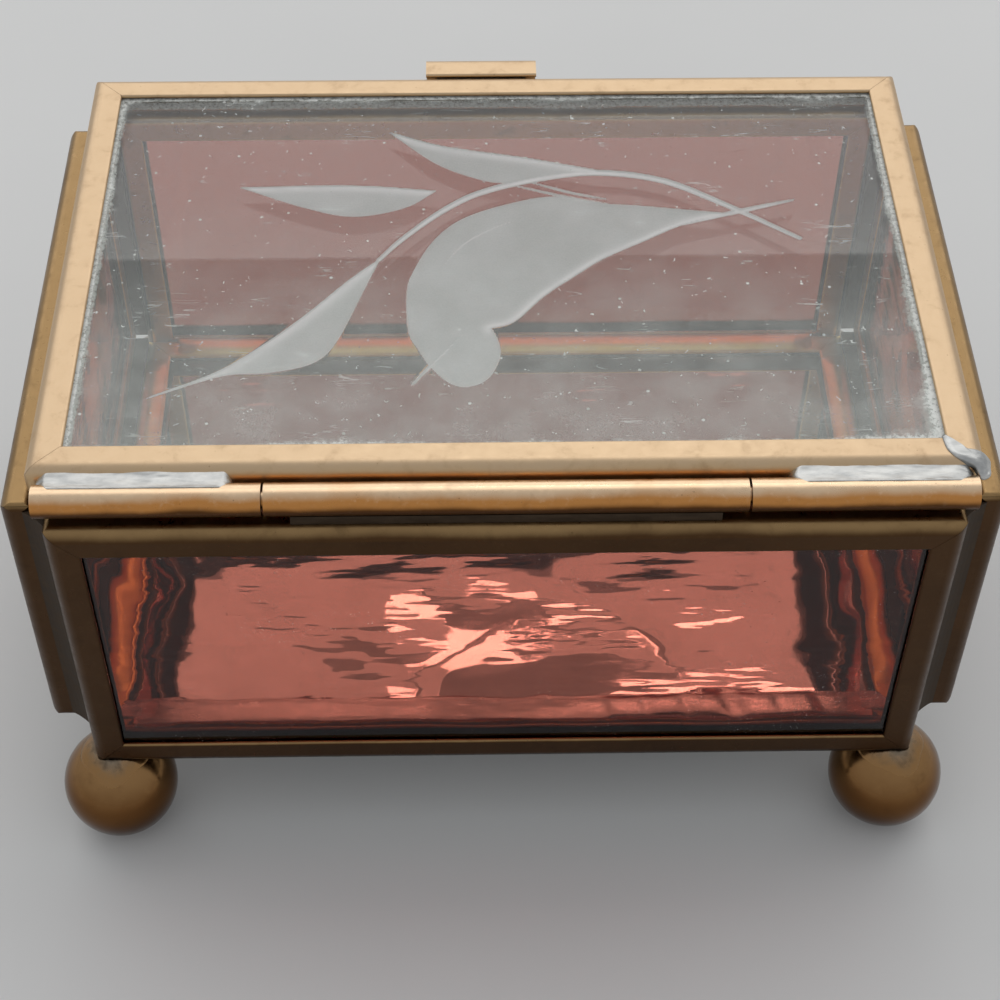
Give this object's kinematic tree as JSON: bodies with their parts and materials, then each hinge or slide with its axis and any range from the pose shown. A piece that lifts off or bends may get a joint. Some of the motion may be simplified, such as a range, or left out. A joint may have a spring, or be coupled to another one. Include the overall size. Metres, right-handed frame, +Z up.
{
  "type": "glass casket box",
  "caption": "Small hinged keepsake box of framed glass panes: clear lid, rose wavy glass walls, mirror base, tube hinge and ball feet.",
  "frame": {"origin": "on the floor, under the middle of the box", "axes": "+Z up, the front (the lid's finger tab) faces -Y, the hinge is at +Y, +X is to the right of a person facing the front"},
  "size_m": [0.0812, 0.0616, 0.045],
  "materials": {
    "brass": "aged satin, worn to a warm copper tone",
    "solder": "bright, slightly frosted tin-lead solder",
    "rose_glass": "wavy rose-tinted sheet glass",
    "clear_glass": "clear sheet glass with frosted wheel-cut ornament",
    "mirror": "silvered glass, silvering underneath",
    "pin": "drawn wire"
  },
  "bodies": {
    "box": {"hinge_knuckle_center": "brass", "hinge_solder_center": "solder", "hinge_pin": "pin", "back_glass": "rose_glass", "back_rail_top": "brass", "back_rail_bottom": "brass", "back_rail_left": "brass", "back_rail_right": "brass", "front_glass": "rose_glass", "front_rail_top": "brass", "front_rail_bottom": "brass", "front_rail_left": "brass", "front_rail_right": "brass", "left_glass": "rose_glass", "left_rail_top": "brass", "left_rail_bottom": "brass", "left_rail_front": "brass", "left_rail_back": "brass", "right_glass": "rose_glass", "right_rail_top": "brass", "right_rail_bottom": "brass", "right_rail_front": "brass", "right_rail_back": "brass", "base_mirror": "mirror", "base_rail_front": "brass", "base_rail_back": "brass", "base_rail_left": "brass", "base_rail_right": "brass", "corner_solder_back_left": "solder", "corner_solder_back_right": "solder", "corner_solder_front_left": "solder", "corner_solder_front_right": "solder", "base_solder_left": "solder", "base_solder_right": "solder", "foot_back_left": "brass", "foot_back_right": "brass", "foot_front_left": "brass", "foot_front_right": "brass", "foot_solder_back_left": "solder", "foot_solder_back_right": "solder", "foot_solder_front_left": "solder", "foot_solder_front_right": "solder"},
    "lid": {"lid_glass": "clear_glass", "lid_rail_front": "brass", "lid_rail_back": "brass", "lid_rail_left": "brass", "lid_rail_right": "brass", "lid_tab": "brass", "lid_tab_solder": "solder", "lid_corner_solder": "solder", "hinge_knuckle_left": "brass", "hinge_knuckle_right": "brass", "hinge_solder_left": "solder", "hinge_solder_right": "solder"}
  },
  "joints": [
    {"name": "lid_hinge", "type": "hinge", "parent": "box", "child": "lid", "pos_m": [0, 0.0252, 0.043], "axis": [-1, 0, 0], "range_deg": [0, 185]}
  ]
}
